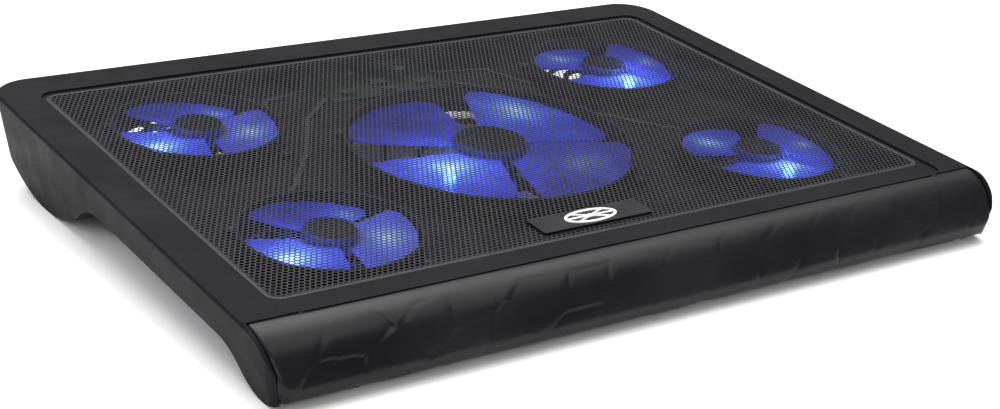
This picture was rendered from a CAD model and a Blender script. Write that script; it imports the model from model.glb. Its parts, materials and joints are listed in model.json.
import json
import math
import random

import bpy
import numpy as np
from mathutils import Matrix, Vector


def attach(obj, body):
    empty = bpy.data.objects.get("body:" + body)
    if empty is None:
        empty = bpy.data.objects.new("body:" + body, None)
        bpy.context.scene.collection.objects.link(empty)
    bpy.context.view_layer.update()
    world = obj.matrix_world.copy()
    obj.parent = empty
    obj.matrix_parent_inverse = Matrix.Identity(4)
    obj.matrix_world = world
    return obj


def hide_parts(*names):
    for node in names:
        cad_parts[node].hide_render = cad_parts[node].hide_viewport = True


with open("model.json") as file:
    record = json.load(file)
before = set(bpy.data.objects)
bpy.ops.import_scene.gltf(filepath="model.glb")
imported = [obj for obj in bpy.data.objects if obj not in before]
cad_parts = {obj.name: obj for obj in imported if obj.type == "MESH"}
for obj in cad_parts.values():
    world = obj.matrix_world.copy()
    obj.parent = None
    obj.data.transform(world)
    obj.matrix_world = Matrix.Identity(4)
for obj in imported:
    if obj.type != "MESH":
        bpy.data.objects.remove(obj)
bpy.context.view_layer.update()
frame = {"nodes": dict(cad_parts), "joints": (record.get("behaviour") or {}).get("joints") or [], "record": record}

MM = 0.001
random.seed(11)

# ---------------------------------------------------------------------------
# Deck frame: x to the right, v back from the groove, w up from the rim (mm).
# The centre fan's axis gives its tilt and place.
# ---------------------------------------------------------------------------
JOINTS = {joint["name"]: joint for joint in frame["joints"]}
CENTRE_FAN_V = 124.0
FAN_MIDDLE_W = -8.0
UP = Vector(JOINTS["centre_fan_spin"]["axis"]).normalized()
RIGHT = Vector((1, 0, 0))
BACK = UP.cross(RIGHT)
ORIGIN = (
    Vector(JOINTS["centre_fan_spin"]["pos_m"])
    - BACK * CENTRE_FAN_V * MM
    - UP * FAN_MIDDLE_W * MM
)

TRAY_HALF = 175.4
MESH_FRONT = 13.1
MESH_REAR = 241.5
MESH_CORNER = 6.5
MESH_TOP = -1.0
MESH_BOTTOM = -1.8


def deck_points(points):
    """Points of the deck frame in mm, as row frame points in metres."""
    points = np.asarray(points, float).reshape(-1, 3)
    axes = np.array([RIGHT[:], BACK[:], UP[:]])
    return np.array(ORIGIN[:]) + points @ axes * MM


def turned(direction):
    """A direction of the deck frame in the row frame."""
    x, v, w = direction
    return RIGHT * x + BACK * v + UP * w


def deck(x, v, w):
    """One point of the deck frame, as a vector in metres."""
    return ORIGIN + turned((x, v, w)) * MM


def add_piece(name, points, faces, material, body="base", smooth=True):
    """A mesh piece that rides on a body."""
    mesh = bpy.data.meshes.new(name)
    mesh.from_pydata([tuple(p) for p in points], [], faces)
    mesh.update()
    mesh.polygons.foreach_set("use_smooth", [smooth] * len(mesh.polygons))
    mesh.materials.append(material)
    piece = bpy.data.objects.new(name, mesh)
    bpy.context.scene.collection.objects.link(piece)
    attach(piece, body)
    return piece


# ---------------------------------------------------------------------------
# Materials
# ---------------------------------------------------------------------------
def new_material(name):
    """An empty node material with its shader."""
    material = bpy.data.materials.new(name)
    material.use_nodes = True
    shader = material.node_tree.nodes["Principled BSDF"]
    return material, material.node_tree.nodes, material.node_tree.links, shader


def noise_node(nodes, links, scale, detail=3.0, roughness=0.55):
    """Noise in the piece's own metres."""
    where = nodes.new("ShaderNodeTexCoord")
    texture = nodes.new("ShaderNodeTexNoise")
    texture.inputs["Scale"].default_value = scale
    texture.inputs["Detail"].default_value = detail
    texture.inputs["Roughness"].default_value = roughness
    links.new(where.outputs["Object"], texture.inputs["Vector"])
    return texture


def ranged(nodes, links, source, low, high, from_low=0.3, from_high=0.7):
    """A value spread over a chosen range."""
    node = nodes.new("ShaderNodeMapRange")
    node.inputs["From Min"].default_value = from_low
    node.inputs["From Max"].default_value = from_high
    node.inputs["To Min"].default_value = low
    node.inputs["To Max"].default_value = high
    links.new(source, node.inputs["Value"])
    return node.outputs["Result"]


def tinted(nodes, links, source, dark, light):
    """A colour that wanders between two near tones."""
    ramp = nodes.new("ShaderNodeValToRGB")
    ramp.color_ramp.elements[0].position = 0.35
    ramp.color_ramp.elements[1].position = 0.65
    ramp.color_ramp.elements[0].color = (*dark, 1)
    ramp.color_ramp.elements[1].color = (*light, 1)
    links.new(source, ramp.inputs["Fac"])
    return ramp.outputs["Color"]


def bumped(nodes, links, shader, source, strength, depth):
    """Relief from a height, in metres."""
    bump = nodes.new("ShaderNodeBump")
    bump.inputs["Strength"].default_value = strength
    bump.inputs["Distance"].default_value = depth
    links.new(source, bump.inputs["Height"])
    links.new(bump.outputs["Normal"], shader.inputs["Normal"])


def moulded_plastic(name, dark, light, rough=(0.42, 0.56), specular=0.35, grain=2600.0):
    """Moulded plastic: spark-eroded grain, cloudy tone and gloss."""
    material, nodes, links, shader = new_material(name)
    cloud = noise_node(nodes, links, 28.0, 4.0)
    fine = noise_node(nodes, links, grain, 2.0)
    colour = tinted(nodes, links, cloud.outputs["Fac"], dark, light)
    links.new(colour, shader.inputs["Base Color"])
    smear = noise_node(nodes, links, 70.0, 3.0)
    gloss = ranged(nodes, links, smear.outputs["Fac"], *rough)
    links.new(gloss, shader.inputs["Roughness"])
    shader.inputs["Specular IOR Level"].default_value = specular
    bumped(nodes, links, shader, fine.outputs["Fac"], 0.35, 0.00006)
    return material


def brushed_metal(name, dark, light, rough=(0.25, 0.4), stretch=(300.0, 300.0, 6000.0)):
    """Ground or drawn metal with fine lines."""
    material, nodes, links, shader = new_material(name)
    where = nodes.new("ShaderNodeTexCoord")
    scale = nodes.new("ShaderNodeMapping")
    scale.inputs["Scale"].default_value = stretch
    lines = nodes.new("ShaderNodeTexNoise")
    lines.inputs["Scale"].default_value = 1.0
    links.new(where.outputs["Object"], scale.inputs["Vector"])
    links.new(scale.outputs["Vector"], lines.inputs["Vector"])
    colour = tinted(nodes, links, lines.outputs["Fac"], dark, light)
    links.new(colour, shader.inputs["Base Color"])
    links.new(ranged(nodes, links, lines.outputs["Fac"], *rough), shader.inputs["Roughness"])
    shader.inputs["Metallic"].default_value = 1.0
    bumped(nodes, links, shader, lines.outputs["Fac"], 0.2, 0.00002)
    return material


def rubber(name):
    """Soft matt rubber with dust in its pores."""
    material, nodes, links, shader = new_material(name)
    pores = noise_node(nodes, links, 1500.0, 4.0)
    colour = tinted(nodes, links, pores.outputs["Fac"], (0.012, 0.012, 0.012), (0.03, 0.03, 0.029))
    links.new(colour, shader.inputs["Base Color"])
    links.new(ranged(nodes, links, pores.outputs["Fac"], 0.7, 0.92), shader.inputs["Roughness"])
    shader.inputs["Specular IOR Level"].default_value = 0.25
    bumped(nodes, links, shader, pores.outputs["Fac"], 0.5, 0.0001)
    return material


def circuit_laminate(name):
    """Solder mask with paler tracks."""
    material, nodes, links, shader = new_material(name)
    where = nodes.new("ShaderNodeTexCoord")
    tracks = nodes.new("ShaderNodeTexBrick")
    tracks.inputs["Scale"].default_value = 160.0
    tracks.inputs["Mortar Size"].default_value = 0.03
    tracks.inputs["Color1"].default_value = (0.002, 0.012, 0.006, 1)
    tracks.inputs["Color2"].default_value = (0.003, 0.016, 0.008, 1)
    tracks.inputs["Mortar"].default_value = (0.006, 0.03, 0.014, 1)
    links.new(where.outputs["Object"], tracks.inputs["Vector"])
    links.new(tracks.outputs["Color"], shader.inputs["Base Color"])
    shader.inputs["Roughness"].default_value = 0.32
    bumped(nodes, links, shader, tracks.outputs["Fac"], 0.3, 0.00003)
    return material


def wound_copper(name):
    """Enamelled wire, wound round each pole."""
    material, nodes, links, shader = new_material(name)
    where = nodes.new("ShaderNodeTexCoord")
    wire = nodes.new("ShaderNodeTexWave")
    wire.bands_direction = "Z"
    wire.inputs["Scale"].default_value = 900.0
    wire.inputs["Distortion"].default_value = 0.6
    links.new(where.outputs["Object"], wire.inputs["Vector"])
    colour = tinted(nodes, links, wire.outputs["Fac"], (0.32, 0.10, 0.035), (0.72, 0.33, 0.15))
    links.new(colour, shader.inputs["Base Color"])
    shader.inputs["Metallic"].default_value = 0.8
    shader.inputs["Roughness"].default_value = 0.35
    bumped(nodes, links, shader, wire.outputs["Fac"], 0.6, 0.0001)
    return material


def glow_colour(nodes, links, distance, strength):
    """Blue light that is whitest at its source and dies away towards its reach."""
    ramp = nodes.new("ShaderNodeValToRGB")
    ramp.color_ramp.interpolation = "B_SPLINE"
    stops = [
        (0.00, (0.80, 1.00, 1.00)),
        (0.07, (0.30, 0.62, 1.00)),
        (0.20, (0.060, 0.15, 0.95)),
        (0.45, (0.022, 0.040, 0.55)),
        (0.80, (0.010, 0.010, 0.20)),
        (1.00, (0.004, 0.004, 0.07)),
    ]
    ramp.color_ramp.elements[0].color = (*stops[0][1], 1)
    ramp.color_ramp.elements[1].position = stops[-1][0]
    ramp.color_ramp.elements[1].color = (*stops[-1][1], 1)
    for place, colour in stops[1:-1]:
        ramp.color_ramp.elements.new(place).color = (*colour, 1)
    links.new(distance, ramp.inputs["Fac"])
    scaled = nodes.new("ShaderNodeMix")
    scaled.data_type = "RGBA"
    scaled.blend_type = "MULTIPLY"
    scaled.inputs["Factor"].default_value = 1.0
    scaled.inputs["B"].default_value = (strength, strength, strength, 1)
    links.new(ramp.outputs["Color"], scaled.inputs["A"])
    return scaled.outputs["Result"]


def lit_blade(name, sources, hub, hub_r):
    """Translucent blue blade, lit by the LEDs beside it; the motor keeps its hub dark."""
    material, nodes, links, shader = new_material(name)
    place = nodes.new("ShaderNodeNewGeometry")
    centre = nodes.new("ShaderNodeVectorMath")
    centre.operation = "DISTANCE"
    centre.inputs[1].default_value = hub
    links.new(place.outputs["Position"], centre.inputs[0])
    low, high = (hub_r - 0.5) * MM, (hub_r + 3.5) * MM
    clear = ranged(nodes, links, centre.outputs["Value"], 0.0, 1.0, low, high)
    total = None
    for point, reach, strength in sources:
        gap = nodes.new("ShaderNodeVectorMath")
        gap.operation = "DISTANCE"
        gap.inputs[1].default_value = point
        links.new(place.outputs["Position"], gap.inputs[0])
        share = ranged(nodes, links, gap.outputs["Value"], 0.0, 1.0, 0.0, reach * MM)
        glow = glow_colour(nodes, links, share, strength)
        if total is None:
            total = glow
        else:
            both = nodes.new("ShaderNodeMix")
            both.data_type = "RGBA"
            both.blend_type = "ADD"
            both.inputs["Factor"].default_value = 1.0
            links.new(total, both.inputs["A"])
            links.new(glow, both.inputs["B"])
            total = both.outputs["Result"]
    cloud = noise_node(nodes, links, 90.0, 3.0)
    tone = ranged(nodes, links, cloud.outputs["Fac"], 0.75, 1.2)
    shaded = nodes.new("ShaderNodeMath")
    shaded.operation = "MULTIPLY"
    links.new(tone, shaded.inputs[0])
    links.new(clear, shaded.inputs[1])
    links.new(total, shader.inputs["Emission Color"])
    links.new(shaded.outputs["Value"], shader.inputs["Emission Strength"])
    body = tinted(nodes, links, clear, (0.004, 0.004, 0.006), (0.006, 0.010, 0.06))
    links.new(body, shader.inputs["Base Color"])
    links.new(ranged(nodes, links, cloud.outputs["Fac"], 0.18, 0.32), shader.inputs["Roughness"])
    shader.inputs["Specular IOR Level"].default_value = 0.15
    ripple = noise_node(nodes, links, 900.0, 2.0)
    bumped(nodes, links, shader, ripple.outputs["Fac"], 0.2, 0.00003)
    return material


def led_glass(name):
    """The small lens of a lit LED."""
    material, nodes, links, shader = new_material(name)
    cloud = noise_node(nodes, links, 700.0, 2.0)
    colour = tinted(nodes, links, cloud.outputs["Fac"], (0.25, 0.6, 1.0), (0.75, 0.95, 1.0))
    links.new(colour, shader.inputs["Base Color"])
    links.new(colour, shader.inputs["Emission Color"])
    shader.inputs["Emission Strength"].default_value = 6.0
    links.new(ranged(nodes, links, cloud.outputs["Fac"], 0.08, 0.2), shader.inputs["Roughness"])
    return material


GREY = (0.0056, 0.0054, 0.0066)
PALE_GREY = (0.0086, 0.0083, 0.0098)
MATT = (0.46, 0.60)
MATT_SPECULAR = 0.05
finishes = {
    "frame_plastic": moulded_plastic("frame_grain", GREY, PALE_GREY, MATT, MATT_SPECULAR),
    "shell_plastic": moulded_plastic("shell_grain", GREY, PALE_GREY, MATT, MATT_SPECULAR),
    "leg_plastic": moulded_plastic("leg_grain", GREY, PALE_GREY, MATT, MATT_SPECULAR),
    "badge_plastic": moulded_plastic(
        "badge_gloss", (0.004, 0.004, 0.005), (0.008, 0.008, 0.009), (0.16, 0.28), 0.4, 900.0
    ),
    "emblem_paint": moulded_plastic(
        "emblem_white", (0.72, 0.72, 0.72), (0.86, 0.86, 0.86), (0.35, 0.5), 0.3
    ),
    "fan_plastic": moulded_plastic(
        "fan_grain", (0.003, 0.003, 0.0035), (0.006, 0.006, 0.007), (0.45, 0.6), 0.15
    ),
    "control_plastic": moulded_plastic("control_grain", (0.03, 0.03, 0.032), (0.045, 0.045, 0.047)),
    "control_body_plastic": moulded_plastic("control_body", (0.012, 0.012, 0.012), (0.022, 0.022, 0.022)),
    "component_plastic": moulded_plastic("component_black", (0.02, 0.02, 0.02), (0.04, 0.04, 0.04)),
    "lead_insulation": moulded_plastic("lead_black", (0.015, 0.015, 0.015), (0.03, 0.03, 0.03)),
    "bearing_bronze": brushed_metal("bearing_bronze", (0.42, 0.27, 0.12), (0.62, 0.43, 0.22)),
    "magnet": brushed_metal("magnet_ferrite", (0.05, 0.05, 0.05), (0.09, 0.09, 0.09), (0.5, 0.7)),
    "shaft_steel": brushed_metal("shaft_steel", (0.5, 0.5, 0.51), (0.7, 0.7, 0.71)),
    "pin_steel": brushed_metal("pin_steel", (0.45, 0.45, 0.46), (0.65, 0.65, 0.66)),
    "screw_steel": brushed_metal("screw_black", (0.08, 0.08, 0.085), (0.16, 0.16, 0.17)),
    "usb_metal": brushed_metal("usb_nickel", (0.5, 0.5, 0.52), (0.72, 0.72, 0.74)),
    "stator_copper": wound_copper("stator_wire"),
    "board_laminate": circuit_laminate("board_green"),
    "led_lens": led_glass("led_lens"),
    "rubber": rubber("pad_rubber"),
}


# ---------------------------------------------------------------------------
# Fans: the LED, then the brighter patches, as seen from the hub
# ---------------------------------------------------------------------------
CENTRE_HUB_R = 17.0
CORNER_HUB_R = 11.5
LED_LIGHT_HEIGHT = 4.5
LED_LIGHT_POWER = 0.02

# bearing in degrees, distance from the axis and reach in mm, strength
GLOWS = {
    "front_left": [(206, 28, 40, 2.4), (-27, 24, 46, 0.75), (45, 27, 26, 0.6)],
    "rear_left": [(206, 28, 36, 2.6), (-27, 24, 44, 0.65), (45, 27, 26, 0.6)],
    "front_right": [(275, 20, 34, 2.2), (127, 25, 44, 0.7), (0, 30, 30, 0.4)],
    "rear_right": [(275, 20, 36, 3.2), (127, 25, 40, 0.55), (0, 30, 28, 0.4)],
    "centre": [(204, 35, 52, 2.2), (42, 50, 62, 0.9), (-50, 45, 60, 0.2)],
}


def around(hub, angle, radius, height=0.0):
    """A point beside a fan's hub, and so high above it."""
    turn = math.radians(angle)
    flat = RIGHT * math.cos(turn) + BACK * math.sin(turn)
    return hub + (flat * radius + UP * height) * MM


for fan, glows in GLOWS.items():
    hub = Vector(JOINTS[f"{fan}_fan_spin"]["pos_m"])
    sources = [(around(hub, a, r), reach, power) for a, r, reach, power in glows]
    hub_r = CENTRE_HUB_R if fan == "centre" else CORNER_HUB_R
    finishes[f"{fan}_blade"] = lit_blade(f"{fan}_blade_blue", sources, hub, hub_r)

record_slots = {part["node"]: part["material_slot"] for part in frame["record"]["subparts"]}
for name, piece in frame["nodes"].items():
    key = record_slots[name]
    if key == "blade_plastic":
        key = name.replace("_impeller", "_blade")
    if key in finishes:
        piece.data.materials.clear()
        piece.data.materials.append(finishes[key])


# ---------------------------------------------------------------------------
# Perforated mesh
# ---------------------------------------------------------------------------
HOLE_PITCH = 2.5
HOLE_RADIUS = 1.13          # to the corners of the six-sided hole
SHEET = 0.24
SHEET_TOP = MESH_TOP - 0.02
RIM_WIDTH = 2.4
HOLE_MARGIN = 1.35          # from the sheet's edge to the outermost holes' centres


def powder_coat(name):
    """Black powder coat on sheet steel: orange peel and rubbed high spots."""
    material, nodes, links, shader = new_material(name)
    cloud = noise_node(nodes, links, 45.0, 3.0)
    colour = tinted(
        nodes, links, cloud.outputs["Fac"], (0.013, 0.0126, 0.0150), (0.021, 0.0205, 0.0238)
    )
    links.new(colour, shader.inputs["Base Color"])
    links.new(ranged(nodes, links, cloud.outputs["Fac"], 0.40, 0.54), shader.inputs["Roughness"])
    shader.inputs["Specular IOR Level"].default_value = 0.2
    peel = noise_node(nodes, links, 1800.0, 2.0)
    bumped(nodes, links, shader, peel.outputs["Fac"], 0.3, 0.00004)
    return material


def inside_sheet(x, v, margin):
    """Which points lie on the sheet, at least a margin from its rounded edge."""
    half = TRAY_HALF - margin
    front = MESH_FRONT + margin
    rear = MESH_REAR - margin
    corner = max(MESH_CORNER - margin, 0.5)
    dx = np.maximum(np.abs(x) - (half - corner), 0)
    dv = np.maximum(np.maximum(front + corner - v, v - (rear - corner)), 0)
    return np.hypot(dx, dv) <= corner


def perforated_sheet(name, v_low, v_high, material):
    """Six-sided holes in a staggered field, one closed band of the sheet."""
    row = HOLE_PITCH * math.sqrt(3) / 2
    across = int(2 * TRAY_HALF / HOLE_PITCH) + 2
    rows = np.arange(int((MESH_REAR - MESH_FRONT) / row) + 2)
    columns = np.arange(across) - across // 2
    grid_x, grid_v = np.meshgrid(columns * HOLE_PITCH, MESH_FRONT + rows * row)
    grid_x = grid_x + (rows % 2)[:, None] * HOLE_PITCH / 2
    x, v = grid_x.ravel(), grid_v.ravel()
    keep = inside_sheet(x, v, HOLE_MARGIN) & (v >= v_low) & (v < v_high)
    x, v = x[keep], v[keep]
    turn = np.radians(90 + 60 * np.arange(6))
    outer_r = HOLE_PITCH / math.sqrt(3)
    outer = np.stack(
        [x[:, None] + outer_r * np.cos(turn), v[:, None] + outer_r * np.sin(turn)], -1
    ).reshape(-1, 2)
    shared, index = np.unique(np.round(outer, 3), axis=0, return_inverse=True)
    index = index.reshape(-1, 6)
    inner = np.stack(
        [x[:, None] + HOLE_RADIUS * np.cos(turn), v[:, None] + HOLE_RADIUS * np.sin(turn)], -1
    ).reshape(-1, 2)
    hole = len(shared) + np.arange(len(inner)).reshape(-1, 6)
    flat = np.vstack([shared, inner])
    count = len(flat)
    following = np.roll(index, -1, axis=1)
    hole_next = np.roll(hole, -1, axis=1)
    top = np.stack([index, following, hole_next, hole], -1).reshape(-1, 4)
    under = top[:, ::-1] + count
    wall = np.stack([hole, hole_next, hole_next + count, hole + count], -1).reshape(-1, 4)
    edges = np.stack([index, following], -1).reshape(-1, 2)
    ordered = np.sort(edges, axis=1)
    _, first, uses = np.unique(ordered, axis=0, return_index=True, return_counts=True)
    rim = edges[first[uses == 1]]
    skirt = np.stack([rim[:, 1], rim[:, 0], rim[:, 0] + count, rim[:, 1] + count], -1)
    high = np.column_stack([flat, np.full(count, SHEET_TOP)])
    low = np.column_stack([flat, np.full(count, SHEET_TOP - SHEET)])
    faces = np.vstack([top, under, wall, skirt]).tolist()
    points = deck_points(np.vstack([high, low]))
    return add_piece(name, points, faces, material, smooth=False)


def rounded_loop(half, front, rear, corner, steps=8):
    """Points of a rounded rectangle, anticlockwise from the rear right corner."""
    loop = []
    for centre_x, centre_v, start in (
        (half - corner, rear - corner, 0),
        (-half + corner, rear - corner, 90),
        (-half + corner, front + corner, 180),
        (half - corner, front + corner, 270),
    ):
        for step in range(steps + 1):
            turn = math.radians(start + 90 * step / steps)
            loop.append((centre_x + corner * math.cos(turn), centre_v + corner * math.sin(turn)))
    return loop


def swept_ring(name, rings, material):
    """A closed band through loops of the same length, each with its own height."""
    points = [(x, v, w) for loop, w in rings for x, v in loop]
    size = len(rings[0][0])
    faces = []
    for ring in range(len(rings)):
        here = ring * size
        after = ((ring + 1) % len(rings)) * size
        for step in range(size):
            ahead = (step + 1) % size
            faces.append((here + step, here + ahead, after + ahead, after + step))
    return add_piece(name, deck_points(points), faces, material)


def sheet_loop(inset):
    """The sheet's outline, moved inwards."""
    return rounded_loop(
        TRAY_HALF - inset, MESH_FRONT + inset, MESH_REAR - inset, MESH_CORNER - inset
    )


def mesh_rim(material):
    """Plain pressed border of the sheet, its edges slightly rounded."""
    rings = [
        (sheet_loop(0.0), MESH_BOTTOM),
        (sheet_loop(0.0), MESH_TOP - 0.15),
        (sheet_loop(0.15), MESH_TOP),
        (sheet_loop(RIM_WIDTH - 0.2), MESH_TOP),
        (sheet_loop(RIM_WIDTH), MESH_TOP - 0.2),
        (sheet_loop(RIM_WIDTH), MESH_BOTTOM),
    ]
    return swept_ring("mesh_rim", rings, material)


coat = powder_coat("mesh_powder_coat")
rim = mesh_rim(coat)
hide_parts("mesh_panel")
band = (MESH_REAR - MESH_FRONT) / 3
for number, place in enumerate(("front", "middle", "rear")):
    sheet = perforated_sheet(
        f"mesh_sheet_{place}",
        MESH_FRONT + number * band,
        MESH_FRONT + (number + 1) * band,
        coat,
    )
    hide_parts("mesh_panel")


# ---------------------------------------------------------------------------
# Front rest: embossed nose cover
# ---------------------------------------------------------------------------
NOSE_WALL = 2.3
NOSE_HALF = 192.8           # a little short of the end walls
NOSE_TAPER = math.tan(math.radians(11))
NOSE_STEP = 0.8
CORNER_R = 12.0             # plan rounding of its ends
CORNER_CENTRE = (183.0, -15.0)
CHIN_END = -15.6            # the cover stops here underneath
CHIN_TOP = -20.0            # underneath means below this height
LIP_DEPTH = 0.6             # rounded edge along the groove
LIP_RUN = 0.7
ROLL_DEPTH = 1.5            # rounded edge at each end
ROLL_RUN = 2.0
FACET_LENGTH = 27
FACET_ROW = 16
FACET_SHIFT = 13            # stagger of every second row
FACET_STRAY = (7, 4)
FACET_SLOPE = 0.026
CREASE_WIDTH = 5.0
CREASE_DEPTH = 0.18


def tangent_arc(start, heading, end, steps):
    """Points of the arc that leaves start along heading and reaches end, and its last heading."""
    start, end = np.array(start, float), np.array(end, float)
    chord = end - start
    half_turn = math.atan2(chord[1], chord[0]) - heading
    half_turn = (half_turn + math.pi) % (2 * math.pi) - math.pi
    radius = np.hypot(*chord) / (2 * math.sin(half_turn))
    side = np.array([-math.sin(heading), math.cos(heading)])
    centre = start + side * radius
    turns = np.linspace(0, 2 * half_turn, steps + 1)[1:]
    arm = start - centre
    points = [
        centre + np.array([
            arm[0] * math.cos(t) - arm[1] * math.sin(t),
            arm[0] * math.sin(t) + arm[1] * math.cos(t),
        ])
        for t in turns
    ]
    return points, heading + 2 * half_turn


def nose_profile():
    """Side outline of the cover, from the groove to the seam under the chin."""
    knots = [(-16.8, -7.8), (-23.1, -18.2), (-20.6, -25.6), (-10.0, -29.6)]
    points = [np.array([-0.15, -0.02])]
    heading = math.pi
    last = (0.0, 0.0)
    for knot, steps in zip(knots, (24, 16, 12, 16)):
        arc, heading = tangent_arc(last, heading, knot, steps)
        points.extend(arc)
        last = knot
    points = np.array(points)
    return points[(points[:, 0] < CHIN_END) | (points[:, 1] > CHIN_TOP)]


def resample(points, step):
    """The same line, with evenly spaced points."""
    lengths = np.r_[0, np.cumsum(np.hypot(*np.diff(points, axis=0).T))]
    wanted = np.linspace(0, lengths[-1], int(lengths[-1] / step) + 1)
    return np.column_stack([np.interp(wanted, lengths, points[:, i]) for i in (0, 1)]), wanted


def facet_seeds(width, height):
    """Centres and slopes of the overlapping facets, on a loose staggered grid."""
    seeds = []
    for row in range(-1, 4):
        for column in range(-1, int(width / FACET_LENGTH) + 2):
            stray = random.uniform(-FACET_STRAY[0], FACET_STRAY[0])
            x = column * FACET_LENGTH + (row % 2) * FACET_SHIFT + stray - width / 2
            s = row * FACET_ROW + random.uniform(-FACET_STRAY[1], FACET_STRAY[1])
            lean = random.uniform(0, 2 * math.pi)
            seeds.append((x, s, math.cos(lean), math.sin(lean), random.uniform(0.6, 1.0)))
    return np.array(seeds)


def facet_relief(x, s, seeds):
    """Height of the embossing: leaning facets that overlap along soft ridges."""
    dx = (x[..., None] - seeds[:, 0]) + 0.55 * (s[..., None] - seeds[:, 1])
    ds = s[..., None] - seeds[:, 1]
    away = np.hypot(dx / 1.15, ds)
    order = np.argsort(away, axis=-1)
    near = np.take_along_axis(away, order[..., :1], -1)[..., 0]
    second = np.take_along_axis(away, order[..., 1:2], -1)[..., 0]
    seed = seeds[order[..., 0]]
    local_x = x - seed[..., 0]
    local_s = s - seed[..., 1]
    tilt = (local_x * seed[..., 2] + local_s * seed[..., 3]) * FACET_SLOPE * seed[..., 4]
    edge = np.clip((second - near) / CREASE_WIDTH, 0, 1)
    crease = (1 - edge * edge * (3 - 2 * edge)) * CREASE_DEPTH
    return tilt - crease


def rounded_edge(distance, depth, run):
    """How far a rounded edge sinks at a distance from it."""
    return depth * (1 - np.sqrt(1 - (1 - np.clip(distance / run, 0, 1)) ** 2))


def embossing(x, run, half):
    """Depth of the cover's outside below its plain outline, with its edges rounded."""
    s = np.repeat(run[:, None], x.shape[1], axis=1)
    relief = facet_relief(x, s, facet_seeds(2 * NOSE_HALF, run[-1]))
    fade = np.clip((s - 7) / 9, 0, 1) * np.clip((run[-1] - s) / 4, 0, 1)
    relief = relief * fade
    relief -= relief.max()
    roll = rounded_edge(half - np.abs(x), ROLL_DEPTH, ROLL_RUN)
    in_groove = np.clip((TRAY_HALF - 4 - np.abs(x)) / 4, 0, 1)
    lip = rounded_edge(s, LIP_DEPTH, LIP_RUN) * in_groove
    return relief - roll - lip


def corner_limit(x, w):
    """How far forward the rounded plan corners let the cover reach."""
    corner_r = CORNER_R + w * NOSE_TAPER
    across = np.clip(np.abs(x) - CORNER_CENTRE[0], 0, None)
    return CORNER_CENTRE[1] - np.sqrt(np.clip(corner_r ** 2 - across ** 2, 0, None))


def closed_shell_faces(rows, wide):
    """Faces of an outer and an inner grid of points, joined along their border."""
    count = rows * wide
    index = np.arange(count).reshape(rows, wide)
    quads = np.stack([index[:-1, :-1], index[:-1, 1:], index[1:, 1:], index[1:, :-1]], -1)
    quads = quads.reshape(-1, 4)
    border = np.concatenate([
        index[0, :-1], index[:-1, -1], index[-1, :0:-1], index[:0:-1, 0],
    ])
    following = np.roll(border, -1)
    side = np.stack([following, border, border + count, following + count], -1)
    return np.vstack([quads, quads[:, ::-1] + count, side]).tolist()


def nose_cover(material):
    """Closed shell: embossed outside, plain inside, rounded ends."""
    line, run = resample(nose_profile(), NOSE_STEP)
    along = np.gradient(line, axis=0)
    along /= np.hypot(*along.T)[:, None]
    outward = np.column_stack([along[:, 1], -along[:, 0]])
    outward *= np.sign(outward[len(line) // 2] @ np.array([-1.0, 0.0]))
    wide = int(2 * NOSE_HALF / NOSE_STEP) + 1
    v, w = line[:, :1], line[:, 1:]
    half = NOSE_HALF + w * NOSE_TAPER
    x = half * np.linspace(-1, 1, wide)[None, :]
    sink = embossing(x, run, half)
    corner_v = corner_limit(x, w)
    outside = np.stack([
        x,
        np.maximum(v + outward[:, :1] * sink, corner_v),
        w + outward[:, 1:] * sink,
    ], -1)
    inner_v = np.repeat(v - outward[:, :1] * NOSE_WALL, wide, axis=1)
    inner_w = np.repeat(w - outward[:, 1:] * NOSE_WALL, wide, axis=1)
    inside = np.stack([x, np.maximum(inner_v, corner_v + 0.4), inner_w], -1)
    points = deck_points(np.vstack([outside.reshape(-1, 3), inside.reshape(-1, 3)]))
    faces = closed_shell_faces(len(line), wide)
    return add_piece("nose_cover", points, faces, material)


def nose_finish(name):
    """Satin black with a leathery micro grain over the embossing."""
    material, nodes, links, shader = new_material(name)
    cloud = noise_node(nodes, links, 24.0, 4.0)
    colour = tinted(nodes, links, cloud.outputs["Fac"], (0.004, 0.004, 0.005), (0.008, 0.0078, 0.009))
    links.new(colour, shader.inputs["Base Color"])
    links.new(ranged(nodes, links, cloud.outputs["Fac"], 0.26, 0.38), shader.inputs["Roughness"])
    shader.inputs["Specular IOR Level"].default_value = 0.17
    cells = nodes.new("ShaderNodeTexVoronoi")
    cells.inputs["Scale"].default_value = 1100.0
    where = nodes.new("ShaderNodeTexCoord")
    links.new(where.outputs["Object"], cells.inputs["Vector"])
    bumped(nodes, links, shader, cells.outputs["Distance"], 0.25, 0.00005)
    return material


nose = nose_cover(nose_finish("nose_satin"))
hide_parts("front_rest")


# ---------------------------------------------------------------------------
# Camera, light and floor
# ---------------------------------------------------------------------------
# in the deck frame: place in mm, viewing direction and the camera's own up
CAMERA_PLACE = (-481.8, -538.3, 324.7)
CAMERA_FORWARD = (0.54473, 0.73469, -0.40437)
CAMERA_UP = (0.15974, 0.38246, 0.91006)
CAMERA_LENS = 67.21
SENSOR_WIDTH = 36.0
FLOOR_REACH = 12.0
SURROUND_STRENGTH = 0.35


def add_camera():
    """The camera at the viewing angle."""
    data = bpy.data.cameras.new("camera")
    data.lens = CAMERA_LENS
    data.sensor_width = SENSOR_WIDTH
    data.clip_start = 0.01
    camera = bpy.data.objects.new("camera", data)
    bpy.context.scene.collection.objects.link(camera)
    forward = Vector(turned(CAMERA_FORWARD)).normalized()
    right = forward.cross(Vector(turned(CAMERA_UP))).normalized()
    rotation = Matrix((right, right.cross(forward), -forward)).transposed().to_4x4()
    camera.matrix_world = Matrix.Translation(deck(*CAMERA_PLACE)) @ rotation
    bpy.context.scene.camera = camera


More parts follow.
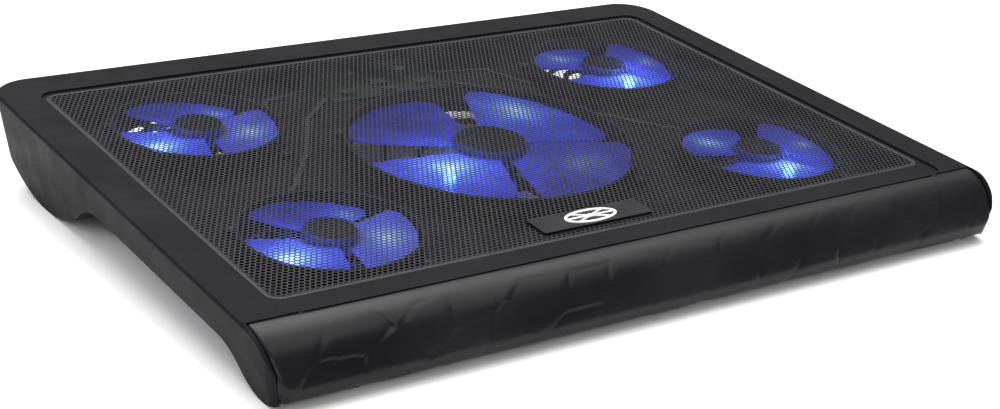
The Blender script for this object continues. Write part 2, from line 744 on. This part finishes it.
def add_softbox(name, place, size, power):
    """A rectangular softbox that faces the object."""
    data = bpy.data.lights.new(name, "AREA")
    data.shape = "RECTANGLE"
    data.size, data.size_y = size
    data.energy = power
    light = bpy.data.objects.new(name, data)
    bpy.context.scene.collection.objects.link(light)
    light.rotation_euler = Vector(place).to_track_quat("Z", "Y").to_euler()
    light.location = place


def add_sky_panel(name, azimuth, elevation, spread, strength):
    """A broad, distant light panel, its bearing from +Y towards +X."""
    data = bpy.data.lights.new(name, "SUN")
    data.energy = strength
    data.angle = math.radians(spread)
    light = bpy.data.objects.new(name, data)
    bpy.context.scene.collection.objects.link(light)
    a, e = math.radians(azimuth), math.radians(elevation)
    towards = Vector((math.sin(a) * math.cos(e), math.cos(a) * math.cos(e), math.sin(e)))
    light.rotation_euler = towards.to_track_quat("Z", "Y").to_euler()


def add_led_light(name, place, power):
    """A small blue light at an LED."""
    data = bpy.data.lights.new(name, "POINT")
    data.energy = power
    data.color = (0.06, 0.16, 1.0)
    data.shadow_soft_size = 0.003
    light = bpy.data.objects.new(name, data)
    bpy.context.scene.collection.objects.link(light)
    light.location = place


def add_floor():
    """Plain pale floor."""
    material, nodes, links, shader = new_material("studio_floor")
    cloud = noise_node(nodes, links, 3.0, 2.0)
    colour = tinted(nodes, links, cloud.outputs["Fac"], (0.90, 0.90, 0.90), (0.91, 0.91, 0.91))
    links.new(colour, shader.inputs["Base Color"])
    shader.inputs["Roughness"].default_value = 0.9
    shader.inputs["Specular IOR Level"].default_value = 0.1
    reach = FLOOR_REACH
    mesh = bpy.data.meshes.new("floor")
    corners = [(-reach, -reach, 0), (reach, -reach, 0), (reach, reach, 0), (-reach, reach, 0)]
    mesh.from_pydata(corners, [], [(0, 1, 2, 3)])
    mesh.materials.append(material)
    floor = bpy.data.objects.new("floor", mesh)
    bpy.context.scene.collection.objects.link(floor)


def add_world():
    """Even white surroundings."""
    world = bpy.data.worlds.new("studio")
    world.use_nodes = True
    world.node_tree.nodes["Background"].inputs["Color"].default_value = (1, 1, 1, 1)
    world.node_tree.nodes["Background"].inputs["Strength"].default_value = SURROUND_STRENGTH
    bpy.context.scene.world = world


add_camera()
add_world()
add_floor()
add_sky_panel("back_panel", 20.0, 62.0, 50.0, 1.9)
add_softbox("top_softbox", (0.1, 0.2, 1.5), (2.4, 2.4), 42)
add_softbox("front_softbox", (-0.7, -1.7, 0.9), (1.6, 1.0), 15)
add_softbox("left_softbox", (-1.7, 0.1, 0.9), (1.4, 1.0), 13)
for fan, glows in GLOWS.items():
    hub = Vector(JOINTS[f"{fan}_fan_spin"]["pos_m"])
    angle, radius, reach, strength = glows[0]
    place = around(hub, angle, radius, LED_LIGHT_HEIGHT)
    add_led_light(f"{fan}_led_light", place, LED_LIGHT_POWER * strength)

bpy.context.scene.view_settings.view_transform = "Standard"
